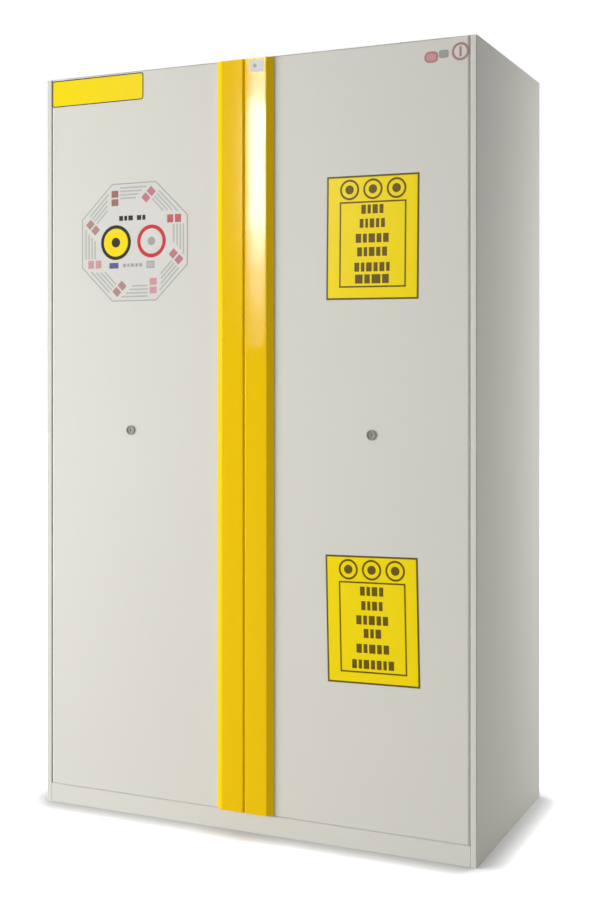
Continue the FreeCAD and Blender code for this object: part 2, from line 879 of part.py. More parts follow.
def lock_housing(lock_x):
    sleeve = square_sleeve(lock_x, 0)
    rosette = prism(rosette_radius, rosette_flats, lock_x, lock_height, profile_along(front_y - rosette_rise),
                    V(0, rosette_rise, 0))
    bore = rod_along_y(barrel_radius + barrel_running, lock_x, lock_height, front_y - rosette_rise - overrun,
                       slab_y + overrun)
    return fuse(sleeve, rosette).cut(bore)


def pinion(lock_x):
    # Involute flanks from the base circle to the tips, with straight roots below it
    pressure = math.radians(pressure_angle)
    base_radius = pitch_radius * math.cos(pressure)
    tip_radius = pitch_radius + addendum
    root_radius = pitch_radius - dedendum
    half_tooth = math.pi / (2 * pinion_teeth) - flank_gap / pitch_radius
    swing = math.tan(pressure) - pressure
    flank = [(root_radius, half_tooth + swing)]
    for i in range(flank_points):
        radius = base_radius + (tip_radius - base_radius) * i / (flank_points - 1)
        turn = math.acos(min(base_radius / radius, 1))
        flank.append((radius, half_tooth + swing - (math.tan(turn) - turn)))
    points = []
    for tooth in range(pinion_teeth):
        middle = 2 * math.pi * tooth / pinion_teeth
        polar = [(radius, middle - angle) for radius, angle in flank]
        polar += [(radius, middle + angle) for radius, angle in flank[::-1]]
        for radius, angle in polar:
            x, z = radius * math.cos(angle), radius * math.sin(angle)
            points.append(V(lock_x + x, pinion_y, lock_height + z))
    points.append(points[0])
    return Part.Face(Part.makePolygon(points)).extrude(V(0, pinion_face, 0))


def lock_cylinder(lock_x):
    barrel = rod_along_y(barrel_radius, lock_x, lock_height, front_y - barrel_rise, pinion_y)
    slot_top = front_y - barrel_rise
    slot_half = key_slot_length / 2
    slot = box(lock_x - key_slot_width / 2, lock_x + key_slot_width / 2, slot_top - overrun,
               slot_top + key_slot_depth, lock_height - slot_half, lock_height + slot_half)
    journal = rod_along_y(journal_radius, lock_x, lock_height, pinion_y + pinion_face,
                          slab_y - sheet + case_depth)
    return fuse(barrel.cut(slot), pinion(lock_x), journal)


def lock_case(lock_x):
    near, far = slab_y - sheet, slab_y - sheet + case_depth
    left, right = lock_x - case_half_width, lock_x + case_half_width
    path = [(right, near), (right, far), (left, far), (left, near)]
    case = folded_sheet(path, [0] * 4, sheet, plan(lock_height - case_half_height),
                        V(0, 0, 2 * case_half_height))
    case = case.cut(rod_along_y(journal_radius + barrel_running, lock_x, lock_height, near, far + overrun))
    guides = []
    middle = (rod_inner + rod_outer) / 2
    for x, z in ((lock_x - middle, plug_top - guide_inset), (lock_x + middle, plug_bottom + guide_inset)):
        guide = box(lock_x - case_half_width, lock_x + case_half_width, near, far,
                    z - guide_height / 2, z + guide_height / 2)
        guides.append(guide.cut(rod_hole(x, z - guide_height, z + guide_height)))
    return [case] + guides


def lock_rod(lock_x, upper):
    # A flat bar whose lower end is a rack; the lower rod is the same bar, turned half round about the lock
    teeth = []
    reach = math.tan(math.radians(pressure_angle))
    top_tooth = rack_teeth_above * tooth_pitch
    bar_end = top_tooth - rack_teeth * tooth_pitch - rod_tail
    tip = plug_top - rod_setback - lock_height if upper else lock_height - plug_bottom - rod_setback
    tooth_half = tooth_pitch / 4 - flank_gap
    points = [(-rod_outer, bar_end), (-rod_inner, bar_end)]
    for i in range(rack_teeth):
        z = top_tooth - (rack_teeth - i) * tooth_pitch + tooth_pitch
        for width_at, x in ((tooth_half + dedendum * reach, -rod_inner), (tooth_half - addendum * reach,
                                                                         -pitch_radius + addendum)):
            teeth.append((x, z - width_at))
        for width_at, x in ((tooth_half - addendum * reach, -pitch_radius + addendum),
                            (tooth_half + dedendum * reach, -rod_inner)):
            teeth.append((x, z + width_at))
    points += teeth + [(-rod_inner, tip), (-rod_outer, tip)]
    sign = 1 if upper else -1
    corners = [V(lock_x + sign * x, rod_y, lock_height + sign * z) for x, z in points]
    return Part.Face(Part.makePolygon(corners + corners[:1])).extrude(V(0, rod_thickness, 0))


def save_door(side):
    # The right door is the left one seen in a mirror
    lock_x = -lock_place
    pieces = {
        "door_skin": [door_skin(lock_x)],
        "door_insulation": door_insulation(lock_x),
        "door_inner_panel": [door_inner_panel(lock_x)],
        "door_handle": [door_handle()],
        "handle_caps": handle_caps(),
        "pivot_blocks": pivot_blocks(),
        "lock_housing": [lock_housing(lock_x)],
        "lock_cylinder": [lock_cylinder(lock_x)],
        "lock_case": lock_case(lock_x),
        "rod_upper": [lock_rod(lock_x, True)],
        "rod_lower": [lock_rod(lock_x, False)],
    }
    for name, shapes in pieces.items():
        if side == "right":
            shapes = [across(shape) for shape in shapes]
        save(name + "_" + side, *shapes)


def save_all():
    os.makedirs("parts", exist_ok=True)
    save("side_casing_left", side_casing())
    save("side_casing_right", across(side_casing()))
    save("top_casing", top_casing())
    save("back_casing", back_casing())
    save("base_pan", base_pan())
    save("base_channels", *base_channels())
    save("levelling_feet", *levelling_feet())
    save("plinth_panel", plinth_panel())
    save("insulation_boards", *insulation_boards())
    save("front_frame", front_frame())
    save("frame_seals", *frame_seals())
    save("liner_left", liner(-1))
    save("liner_right", liner(1))
    save("exhaust_spigots", *exhaust_spigots())
    save("earth_terminal", earth_terminal())
    save("hinge_plates", *hinge_plates())
    save("pivot_pins", *pivot_pins())
    save("keeper_plates", *keeper_plates())
    for name, top in zip(("shelf_lower", "shelf_middle", "shelf_upper"), shelf_top_places):
        save(name, shelf(top))
    save("shelf_uprights", *shelf_uprights())
    save("shelf_clips", *shelf_clips())
    save("sump_tray", sump_tray())
    save("sump_grid", sump_grid())
    save("divider_panel", divider_panel())
    save("filler_panels", *filler_panels())
    save("runner_channels", *runner_channels())
    save("air_grilles", *air_grilles())
    for number, level in enumerate(tray_places, start=1):
        save("tray_carrier_" + str(number), *tray_carrier(level))
        save("tray_tub_" + str(number), tray_tub(level))
    save_door("left")
    save_door("right")


save_all()
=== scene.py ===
# Reagent safety cabinet: its finishes, labels and small fittings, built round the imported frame
import json
import math
import bpy
from mathutils import Matrix, Vector


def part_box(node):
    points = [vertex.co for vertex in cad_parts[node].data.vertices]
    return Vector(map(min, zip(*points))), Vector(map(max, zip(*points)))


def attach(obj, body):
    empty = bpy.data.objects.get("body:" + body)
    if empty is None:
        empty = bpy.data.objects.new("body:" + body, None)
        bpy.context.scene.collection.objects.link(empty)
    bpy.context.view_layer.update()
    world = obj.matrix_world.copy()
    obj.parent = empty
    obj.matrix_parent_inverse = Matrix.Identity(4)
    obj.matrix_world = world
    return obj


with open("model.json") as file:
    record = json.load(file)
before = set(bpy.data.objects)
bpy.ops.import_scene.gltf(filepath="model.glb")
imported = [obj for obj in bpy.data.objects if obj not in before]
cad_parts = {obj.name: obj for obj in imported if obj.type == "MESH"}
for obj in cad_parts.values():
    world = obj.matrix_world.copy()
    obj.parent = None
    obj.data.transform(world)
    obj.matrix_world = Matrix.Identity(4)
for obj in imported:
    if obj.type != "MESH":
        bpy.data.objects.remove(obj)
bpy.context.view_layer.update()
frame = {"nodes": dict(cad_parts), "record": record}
print("frame loaded:", len(frame["nodes"]), "nodes")


# Small helpers for modelling by operators

def clearSelection():
    if bpy.context.object and bpy.context.object.mode != "OBJECT":
        bpy.ops.object.mode_set(mode="OBJECT")
    bpy.ops.object.select_all(action="DESELECT")


def takePrimitive(name, scale):
    piece = bpy.context.active_object
    piece.name = name
    piece.data.name = name
    piece.scale = scale
    bpy.ops.object.transform_apply(location=True, rotation=True, scale=True)
    return piece


def pickFaces(piece, wanted):
    # selects the faces whose centre and normal pass the test, and stays in edit mode
    bpy.ops.object.mode_set(mode="EDIT")
    bpy.ops.mesh.select_mode(type="FACE")
    bpy.ops.mesh.select_all(action="DESELECT")
    bpy.ops.object.mode_set(mode="OBJECT")
    for face in piece.data.polygons:
        face.select = wanted(face.center, face.normal)
    bpy.ops.object.mode_set(mode="EDIT")


def applyModifier(piece, kind, **values):
    bpy.context.view_layer.objects.active = piece
    modifier = piece.modifiers.new(kind.title(), kind)
    for key, value in values.items():
        setattr(modifier, key, value)
    bpy.ops.object.modifier_apply(modifier=modifier.name)


def joinPieces(name, pieces):
    clearSelection()
    for piece in pieces:
        piece.select_set(True)
    bpy.context.view_layer.objects.active = pieces[0]
    if len(pieces) > 1:
        bpy.ops.object.join()
    joined = bpy.context.active_object
    joined.name = name
    joined.data.name = name
    return joined


def copyTo(piece, name, shift):
    # a copy with its own mesh, moved by its vertices
    clearSelection()
    piece.select_set(True)
    bpy.context.view_layer.objects.active = piece
    bpy.ops.object.duplicate()
    made = bpy.context.active_object
    made.name = name
    made.data.name = name
    made.location = shift
    bpy.ops.object.transform_apply(location=True, rotation=False, scale=False)
    return made


def tiltPiece(piece, centre, degrees):
    # turns a joined piece on its door about its own middle, clockwise as seen from the front
    middle = Vector(centre)
    turn = Matrix.Rotation(math.radians(degrees), 4, "Y")
    piece.matrix_world = Matrix.Translation(middle) @ turn @ Matrix.Translation(-middle)
    clearSelection()
    piece.select_set(True)
    bpy.context.view_layer.objects.active = piece
    bpy.ops.object.transform_apply(location=True, rotation=True, scale=True)


# Shader groups that several finishes share

def newGroup(name, inputs, outputs):
    group = bpy.data.node_groups.new(name, "ShaderNodeTree")
    for label, kind, value in inputs:
        socket = group.interface.new_socket(label, in_out="INPUT", socket_type=kind)
        socket.default_value = value
    for label, kind in outputs:
        group.interface.new_socket(label, in_out="OUTPUT", socket_type=kind)
    return group, group.nodes.new("NodeGroupInput"), group.nodes.new("NodeGroupOutput")


def mathNode(tree, operation, *inputs):
    # a math node whose inputs are sockets or numbers
    node = tree.nodes.new("ShaderNodeMath")
    node.operation = operation
    for socket, value in zip(node.inputs, inputs):
        if isinstance(value, bpy.types.NodeSocket):
            tree.links.new(value, socket)
        else:
            socket.default_value = value
    return node.outputs[0]


def scaledTexture(tree, kind, scale):
    # a texture in Object coordinates
    place = tree.nodes.new("ShaderNodeTexCoord")
    texture = tree.nodes.new(kind)
    tree.links.new(place.outputs["Object"], texture.inputs["Vector"])
    tree.links.new(scale, texture.inputs["Scale"])
    return texture


def tintBy(tree, colour, change, strength, target):
    # the colour times one plus the change, which lies round zero
    tint = tree.nodes.new("ShaderNodeVectorMath")
    tint.operation = "SCALE"
    tree.links.new(colour, tint.inputs[0])
    tree.links.new(mathNode(tree, "MULTIPLY_ADD", change, strength, 1), tint.inputs["Scale"])
    tree.links.new(tint.outputs[0], target)


grain = {"cloudDetail": 4, "dimpleDetail": 2, "bumpDistance": 0.0004, "middle": 0.5}


def buildPaintGrain():
    # powder coat: fine dimples, a faint cloudiness and small changes of gloss
    inputs = [("Colour", "NodeSocketColor", (0.8, 0.8, 0.8, 1)), ("Cloud Size", "NodeSocketFloat", 2.0),
              ("Cloudiness", "NodeSocketFloat", 0.04), ("Dimple Scale", "NodeSocketFloat", 900.0),
              ("Dimple Depth", "NodeSocketFloat", 0.1), ("Roughness", "NodeSocketFloat", 0.4),
              ("Gloss Change", "NodeSocketFloat", 0.06)]
    outputs = [("Colour", "NodeSocketColor"), ("Roughness", "NodeSocketFloat"),
               ("Normal", "NodeSocketVector")]
    group, ins, outs = newGroup("paintGrain", inputs, outputs)
    cloud = scaledTexture(group, "ShaderNodeTexNoise", ins.outputs["Cloud Size"])
    cloud.inputs["Detail"].default_value = grain["cloudDetail"]
    around = mathNode(group, "SUBTRACT", cloud.outputs["Fac"], grain["middle"])
    tintBy(group, ins.outputs["Colour"], around, ins.outputs["Cloudiness"], outs.inputs["Colour"])
    gloss = mathNode(group, "MULTIPLY_ADD", around, ins.outputs["Gloss Change"], ins.outputs["Roughness"])
    group.links.new(gloss, outs.inputs["Roughness"])
    dimples = scaledTexture(group, "ShaderNodeTexNoise", ins.outputs["Dimple Scale"])
    dimples.inputs["Detail"].default_value = grain["dimpleDetail"]
    bump = group.nodes.new("ShaderNodeBump")
    bump.inputs["Distance"].default_value = grain["bumpDistance"]
    group.links.new(ins.outputs["Dimple Depth"], bump.inputs["Strength"])
    group.links.new(dimples.outputs["Fac"], bump.inputs["Height"])
    group.links.new(bump.outputs["Normal"], outs.inputs["Normal"])
    return group


flakeValues = {"middle": 0.5, "roughnessChange": 0.12}


def buildZincFlakes():
    # the crystal flowers of galvanised sheet
    inputs = [("Colour", "NodeSocketColor", (0.6, 0.6, 0.6, 1)), ("Flake Scale", "NodeSocketFloat", 70.0),
              ("Contrast", "NodeSocketFloat", 0.25), ("Roughness", "NodeSocketFloat", 0.4)]
    outputs = [("Colour", "NodeSocketColor"), ("Roughness", "NodeSocketFloat")]
    group, ins, outs = newGroup("zincFlakes", inputs, outputs)
    flakes = scaledTexture(group, "ShaderNodeTexVoronoi", ins.outputs["Flake Scale"])
    grey = group.nodes.new("ShaderNodeSeparateColor")
    group.links.new(flakes.outputs["Color"], grey.inputs["Color"])
    around = mathNode(group, "SUBTRACT", grey.outputs["Red"], flakeValues["middle"])
    tintBy(group, ins.outputs["Colour"], around, ins.outputs["Contrast"], outs.inputs["Colour"])
    rough = mathNode(group, "MULTIPLY_ADD", around, flakeValues["roughnessChange"], ins.outputs["Roughness"])
    group.links.new(rough, outs.inputs["Roughness"])
    return group


paintGrain = buildPaintGrain()
zincFlakes = buildZincFlakes()
print("shader groups ready")


# Finishes

def newFinish(name, group, groupValues, shaderValues):
    finish = bpy.data.materials.new(name)
    finish.use_nodes = True
    nodes, links = finish.node_tree.nodes, finish.node_tree.links
    shader = nodes["Principled BSDF"]
    surface = nodes.new("ShaderNodeGroup")
    surface.node_tree = group
    for label, value in groupValues.items():
        surface.inputs[label].default_value = value
    links.new(surface.outputs["Colour"], shader.inputs["Base Color"])
    links.new(surface.outputs["Roughness"], shader.inputs["Roughness"])
    if "Normal" in surface.outputs:
        links.new(surface.outputs["Normal"], shader.inputs["Normal"])
    for label, value in shaderValues.items():
        shader.inputs[label].default_value = value
    return finish


def paint(name, colour, roughness, depth=0.1, dimples=900.0, cloudiness=0.04, **shaderValues):
    groupValues = {"Colour": (*colour, 1), "Roughness": roughness, "Dimple Depth": depth,
                   "Dimple Scale": dimples, "Cloudiness": cloudiness}
    named = {label.replace("_", " "): value for label, value in shaderValues.items()}
    return newFinish(name, paintGrain, groupValues, named)


def zinc(name, colour, roughness, contrast, flakes):
    groupValues = {"Colour": (*colour, 1), "Roughness": roughness, "Contrast": contrast,
                   "Flake Scale": flakes}
    return newFinish(name, zincFlakes, groupValues, {"Metallic": 1.0})


finishes = {
    "casing_paint": paint("casingPaint", (0.67, 0.658, 0.60), 0.58, depth=0.14, Specular_IOR_Level=0.12),
    "handle_paint": paint("handlePaint", (0.86, 0.54, 0.001), 0.4, depth=0.02, dimples=260.0,
                          Coat_Weight=0.12, Coat_Roughness=0.07, Specular_IOR_Level=0.0),
    "zinc_sheet": zinc("zincSheet", (0.40, 0.41, 0.42), 0.45, 0.16, 90.0),
    "steel_parts": zinc("steelParts", (0.52, 0.53, 0.54), 0.32, 0.10, 400.0),
    "brass_parts": zinc("brassParts", (0.70, 0.50, 0.20), 0.30, 0.08, 500.0),
    "lock_metal": paint("lockMetal", (0.16, 0.15, 0.135), 0.55, depth=0.05, dimples=2500.0, Metallic=0.6),
    "fire_board": paint("fireBoard", (0.62, 0.58, 0.48), 0.85, depth=0.6, dimples=300.0, cloudiness=0.18),
    "lining_laminate": paint("liningLaminate", (0.66, 0.66, 0.63), 0.3, depth=0.04, dimples=500.0),
    "shelf_paint": paint("shelfPaint", (0.46, 0.47, 0.47), 0.45, depth=0.15),
    "sump_paint": paint("sumpPaint", (0.34, 0.35, 0.35), 0.5, depth=0.15),
    "seal_rubber": paint("sealRubber", (0.02, 0.02, 0.02), 0.6, depth=0.2, dimples=700.0),
    "cap_plastic": paint("capPlastic", (0.72, 0.42, 0.004), 0.4, depth=0.15, dimples=1200.0),
    "grey_plastic": paint("greyPlastic", (0.23, 0.24, 0.24), 0.5, depth=0.2, dimples=1200.0),
    "tub_plastic": paint("tubPlastic", (0.52, 0.53, 0.52), 0.45, depth=0.15, dimples=800.0, cloudiness=0.05),
}
filmColours = {  # colour and roughness
    "yellow": ((0.90, 0.69, 0.003), 0.3),
    "black": ((0.02, 0.018, 0.014), 0.35),
    "white": ((0.66, 0.65, 0.615), 0.3),
    "grey": ((0.34, 0.35, 0.33), 0.35),
    "mist": ((0.44, 0.45, 0.42), 0.35),
    "brick": ((0.48, 0.11, 0.10), 0.35),
    "red": ((0.55, 0.03, 0.03), 0.35),
    "brown": ((0.33, 0.15, 0.11), 0.35),
    "violet": ((0.11, 0.09, 0.30), 0.35),
    "pink": ((0.60, 0.30, 0.31), 0.35),
    "bark": ((0.13, 0.088, 0.006), 0.35),
    "rose": ((0.50, 0.18, 0.22), 0.35),
    "umber": ((0.42, 0.24, 0.22), 0.35),
}
labelFilms = {}
for filmName, (filmColour, filmRoughness) in filmColours.items():
    labelFilms[filmName] = paint("label" + filmName.title(), filmColour, filmRoughness, depth=0.02,
                                 dimples=600.0, Specular_IOR_Level=0.1)


def dressNodes():
    for row in frame["record"]["subparts"]:
        node = frame["nodes"][row["node"]]
        node.data.materials.clear()
        node.data.materials.append(finishes[row["material_slot"]])


dressNodes()
print("finishes on the frame's nodes")


# Labels are thin films on the doors, in millimetres on the front: x, z and sizes

mm = 0.001
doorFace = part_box("door_skin_left")[0].y
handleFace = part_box("door_handle_left")[0].y
film = {"base": 0.30 * mm, "ink": 0.12 * mm, "cornerSteps": 3, "ringSides": 40, "coreSides": 24}


def flatShape(name, x, z, width, height, face, lift, turn=0.0, corner=0.0, sides=0):
    # a flat outline that looks out of the door: a rectangle, or a circle or polygon with that many sides
    clearSelection()
    spot = (x * mm, face - lift, z * mm)
    if sides:
        bpy.ops.mesh.primitive_circle_add(vertices=sides, radius=0.5, fill_type="NGON", location=spot,
                                          rotation=(math.pi / 2, turn, 0))
    else:
        bpy.ops.mesh.primitive_plane_add(size=1, location=spot, rotation=(math.pi / 2, turn, 0))
    piece = takePrimitive(name, (width * mm, height * mm, 1))
    if corner:
        bpy.ops.object.mode_set(mode="EDIT")
        bpy.ops.mesh.select_all(action="SELECT")
        bpy.ops.mesh.bevel(offset=corner * mm, segments=film["cornerSteps"], affect="VERTICES")
        bpy.ops.object.mode_set(mode="OBJECT")
    return piece


def paintRim(piece, rim, thickness, rimFilm, innerFilm):
    # insets the outline, gives the inside its own film and then the whole its thickness
    piece.data.materials.append(labelFilms[rimFilm])
    piece.data.materials.append(labelFilms[innerFilm])
    bpy.ops.object.mode_set(mode="EDIT")
    bpy.ops.mesh.select_all(action="SELECT")
    bpy.ops.mesh.inset(thickness=rim * mm, use_even_offset=True)
    piece.active_material_index = 1
    bpy.ops.object.material_slot_assign()
    bpy.ops.object.mode_set(mode="OBJECT")
    applyModifier(piece, "SOLIDIFY", thickness=thickness, offset=-1)
    return piece


def paintWhole(piece, thickness, filmName):
    piece.data.materials.append(labelFilms[filmName])
    applyModifier(piece, "SOLIDIFY", thickness=thickness, offset=-1)
    return piece


def inkBar(x, z, width, height, filmName, turn=0.0, corner=0.6):
    bar = flatShape("bar", x, z, width, height, doorFace, film["base"] + film["ink"], turn, corner)
    return paintWhole(bar, film["ink"], filmName)


def inkRing(x, z, size, rim, rimFilm, innerFilm):
    ring = flatShape("ring", x, z, size, size, doorFace, film["base"] + film["ink"], sides=film["ringSides"])
    return paintRim(ring, rim, film["ink"], rimFilm, innerFilm)


def inkCore(x, z, size, filmName):
    # the disc in the middle of a ring, one film higher
    core = flatShape("core", x, z, size, size, doorFace, film["base"] + film["ink"] * 2,
                     sides=film["coreSides"])
    return paintWhole(core, film["ink"], filmName)


topPlate = {"left": -582.5, "right": -299, "top": 1945.5, "height": 71, "corner": 7, "rim": 2.6}


def buildTopPlate():
    # a bare plate in the door's top corner
    values = topPlate
    width = values["right"] - values["left"]
    x, z = (values["left"] + values["right"]) / 2, values["top"] - values["height"] / 2
    plate = flatShape("bare_plate", x, z, width, values["height"], doorFace, film["base"],
                      corner=values["corner"])
    paintRim(plate, values["rim"], film["base"], "black", "yellow")
    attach(plate, "door_left")


compartmentPlate = {
    "x": 339.5, "width": 238, "rim": 4.6,
    "frameX": 340.5, "frameWidth": 172, "frameDrop": 63, "frameLine": 4.0,
    "discSize": 50, "discStep": 60.5, "discDrop": 34, "discRim": 5, "discCore": 22,
    "blockHeight": 22, "blockGap": 4.5,
}
# the rows of blocks have their heights on the door, their widths and how many blocks each has
plateRows = [
    {"name": "upper", "top": 1637.5, "height": 301.5, "frameHeight": 209, "turn": 0.5,
     "rows": (1555, 1521, 1485, 1452, 1415, 1386), "widths": (57, 65, 85, 77, 91, 87),
     "blocks": (4, 5, 5, 5, 6, 4)},
    {"name": "lower", "top": 715.5, "height": 311, "frameHeight": 221, "turn": -1.2,
     "rows": (630, 595, 560, 528, 491, 453), "widths": (60, 55, 82, 45, 84, 108),
     "blocks": (4, 4, 5, 3, 5, 7)},
]

blockShares = (1.0, 0.72, 1.15, 0.86)


def blockRow(x, z, width, count, height, gap, filmName="bark"):
    # a row of plain blocks, broad and narrow by turns
    shares = [blockShares[i % len(blockShares)] for i in range(count)]
    unit = (width - gap * (count - 1)) / sum(shares)
    row, left = [], x - width / 2
    for share in shares:
        row.append(inkBar(left + share * unit / 2, z, share * unit, height, filmName))
        left += share * unit + gap
    return row


def buildCompartmentPlates():
    values = compartmentPlate
    for plate in plateRows:
        middle = plate["top"] - plate["height"] / 2
        base = flatShape("base", values["x"], middle, values["width"], plate["height"], doorFace,
                         film["base"])
        parts = [paintRim(base, values["rim"], film["base"], "bark", "yellow")]
        frameMiddle = plate["top"] - values["frameDrop"] - plate["frameHeight"] / 2
        frameOutline = flatShape("frame", values["frameX"], frameMiddle, values["frameWidth"],
                                 plate["frameHeight"], doorFace, film["base"] + film["ink"] / 2)
        parts.append(paintRim(frameOutline, values["frameLine"], film["ink"] / 2, "bark", "yellow"))
        for step in (-1, 0, 1):
            x, z = values["frameX"] + step * values["discStep"], plate["top"] - values["discDrop"]
            parts.append(inkRing(x, z, values["discSize"], values["discRim"], "bark", "yellow"))
            parts.append(inkCore(x, z, values["discCore"], "bark"))
        for z, width, count in zip(plate["rows"], plate["widths"], plate["blocks"]):
            parts += blockRow(values["x"], z, width, count, values["blockHeight"], values["blockGap"])
        whole = joinPieces("compartment_plate_" + plate["name"], parts)
        tiltPiece(whole, (values["x"] * mm, doorFace, middle * mm), plate["turn"])
        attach(whole, "door_right")


# a row of blocks has its place along, its width, how many blocks and, for the foot, their height
octagonLabel = {
    "x": -327.5, "z": 1502.5, "width": 321, "height": 311, "rim": 2.6, "sides": 8,
    "block": (21, 18), "blockAt": -58, "blockOut": (132, 109),
    "blockFilms": ("brown", "rose", "brick", "rose", "pink", "umber", "pink", "umber"),
    "barOut": (148, 138.5, 129, 119.5), "barStart": -42, "barLengths": (80, 66, 56, 48), "bar": 4.2,
    "discX": -55, "discSize": 92, "discRim": 9, "discCore": 26,
    "ringX": 53, "ringSize": 86, "ringRim": 10, "ringCore": 22,
    "titleZ": 63, "titleHeight": 13, "titleGap": 3.5, "titleRows": ((-24, 42, 3), (22, 26, 2)),
    "footX": -61, "footZ": -61, "foot": (28, 15), "footRow": (-4, 58, 5, 9), "footGap": 4,
    "endX": 50, "end": (24, 19, 2.4),
}


def turnedPlace(values, along, out, turn):
    # a place near the rim, turned clockwise with its side, squeezed as the octagon is
    x = along * math.cos(turn) + out * math.sin(turn)
    z = out * math.cos(turn) - along * math.sin(turn)
    return values["x"] + x, values["z"] + z * values["height"] / values["width"]


def buildOctagon():
    values = octagonLabel
    half = math.pi / values["sides"]
    clearSelection()
    bpy.ops.mesh.primitive_circle_add(vertices=values["sides"], radius=0.5 / math.cos(half),
                                      fill_type="NGON", rotation=(0, 0, half))
    base = takePrimitive("base", (1, 1, 1))
    base.rotation_euler = (math.pi / 2, 0, 0)
    base.location = (values["x"] * mm, doorFace - film["base"], values["z"] * mm)
    base.scale = (values["width"] * mm, values["height"] * mm, 1)
    bpy.ops.object.transform_apply(location=True, rotation=True, scale=True)
    parts = [paintRim(base, values["rim"], film["base"], "grey", "white")]
    for side, blockFilm in enumerate(values["blockFilms"]):
        turn = side * 2 * half
        for out in values["blockOut"]:
            x, z = turnedPlace(values, values["blockAt"], out, turn)
            parts.append(inkBar(x, z, *values["block"], blockFilm, turn))
        for out, length in zip(values["barOut"], values["barLengths"]):
            x, z = turnedPlace(values, values["barStart"] + length / 2, out, turn)
            parts.append(inkBar(x, z, length, values["bar"], "mist", turn))
    x, z = values["x"], values["z"]
    parts.append(inkRing(x + values["discX"], z, values["discSize"], values["discRim"], "black", "yellow"))
    parts.append(inkRing(x + values["ringX"], z, values["ringSize"], values["ringRim"], "red", "white"))
    for along, size, inkFilm in ((values["discX"], values["discCore"], "black"),
                                 (values["ringX"], values["ringCore"], "grey")):
        parts.append(inkCore(x + along, z, size, inkFilm))
    for along, width, count in values["titleRows"]:
        parts += blockRow(x + along, z + values["titleZ"], width, count, values["titleHeight"],
                          values["titleGap"], "black")
    parts.append(inkBar(x + values["footX"], z + values["footZ"], *values["foot"], "violet"))
    along, width, count, height = values["footRow"]
    parts += blockRow(x + along, z + values["footZ"], width, count, height, values["footGap"], "grey")
    width, height, rim = values["end"]
    endMark = flatShape("end", x + values["endX"], z + values["footZ"], width, height, doorFace,
                        film["base"] + film["ink"])
    parts.append(paintRim(endMark, rim, film["ink"], "grey", "mist"))
    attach(joinPieces("octagon_label", parts), "door_left")


smallMarks = {
    "blob": {"x": 489, "z": 1907, "width": 34, "height": 27, "corner": 11, "rim": 5},
    "patch": {"x": 520, "z": 1912, "width": 24, "height": 19, "corner": 5},
    "roundel": {"x": 561, "z": 1914, "size": 43, "rim": 6, "bar": (6, 24)},
    "square": {"x": 36, "z": 1927, "width": 36, "height": 29, "corner": 2, "thickness": 0.08 * mm,
               "dotX": 31, "dotZ": 1928, "dot": 10, "dotSides": 32, "dotLift": 0.12 * mm,
               "dotThickness": 0.04 * mm},
}


def buildSmallMarks():
    blob, patch, roundel, square = (smallMarks[name] for name in ("blob", "patch", "roundel", "square"))
    spot = flatShape("spot", blob["x"], blob["z"], blob["width"], blob["height"], doorFace, film["base"],
                     corner=blob["corner"])
    paintRim(spot, blob["rim"], film["base"], "umber", "pink")
    smudge = flatShape("smudge", patch["x"], patch["z"], patch["width"], patch["height"], doorFace,
                       film["base"], corner=patch["corner"])
    paintWhole(smudge, film["base"], "grey")
    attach(joinPieces("pale_sticker_long", [spot, smudge]), "door_right")
    ring = flatShape("roundel", roundel["x"], roundel["z"], roundel["size"], roundel["size"], doorFace,
                     film["base"], sides=film["ringSides"])
    paintRim(ring, roundel["rim"], film["base"], "umber", "white")
    bar = inkBar(roundel["x"], roundel["z"], *roundel["bar"], "umber")
    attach(joinPieces("pale_sticker_round", [ring, bar]), "door_right")
    seal = flatShape("seal", square["x"], square["z"], square["width"], square["height"], handleFace,
                     square["thickness"], corner=square["corner"])
    paintWhole(seal, square["thickness"], "white")
    dot = flatShape("dot", square["dotX"], square["dotZ"], square["dot"], square["dot"], handleFace,
                    square["dotLift"], sides=square["dotSides"])
    paintWhole(dot, square["dotThickness"], "grey")
    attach(joinPieces("handle_sticker", [seal, dot]), "door_right")


buildTopPlate()
buildCompartmentPlates()
buildOctagon()
buildSmallMarks()
print("labels built")


# Small fittings that hold the sheets

screwHead = {"radius": 4.5, "height": 2.2, "crownEdge": 1.3, "crown": 0.5, "recessEdge": 1.5, "recess": 1.6,
             "edge": 0.5, "edgeSteps": 2, "sides": 20, "smooth": 35}
topFace = 0.9  # faces that look along an axis at least this much belong to an end


def buildPanHead(name, spot, finish):
    # an upright pan head with a crowned top and a round recess
    clearSelection()
    values = screwHead
    bpy.ops.mesh.primitive_cylinder_add(vertices=values["sides"], radius=values["radius"] * mm,
                                        depth=values["height"] * mm,
                                        location=(0, 0, values["height"] / 2 * mm))
    head = takePrimitive(name, (1, 1, 1))
    pickFaces(head, lambda centre, normal: normal.z > topFace)
    bpy.ops.mesh.inset(thickness=values["crownEdge"] * mm)
    bpy.ops.transform.translate(value=(0, 0, values["crown"] * mm))
    bpy.ops.mesh.inset(thickness=values["recessEdge"] * mm)
    bpy.ops.mesh.extrude_region_move(TRANSFORM_OT_translate={"value": (0, 0, -values["recess"] * mm)})
    bpy.ops.object.mode_set(mode="OBJECT")
    applyModifier(head, "BEVEL", width=values["edge"] * mm, segments=values["edgeSteps"],
                  limit_method="ANGLE")
    head.location = spot
    bpy.ops.object.transform_apply(location=True, rotation=True, scale=True)
    head.data.materials.append(finish)
    bpy.ops.object.shade_smooth_by_angle(angle=math.radians(values["smooth"]))
    return head


# each step of the dome goes so far in and so far up, as shares of the radius and the height
backRivets = {"radius": 4.2, "height": 1.1, "fromEdge": 34, "fromEnd": 16, "rows": 9, "columns": 6,
              "steps": ((0.3, 0.33), (0.35, 0.17)), "sides": 20, "smooth": 50}


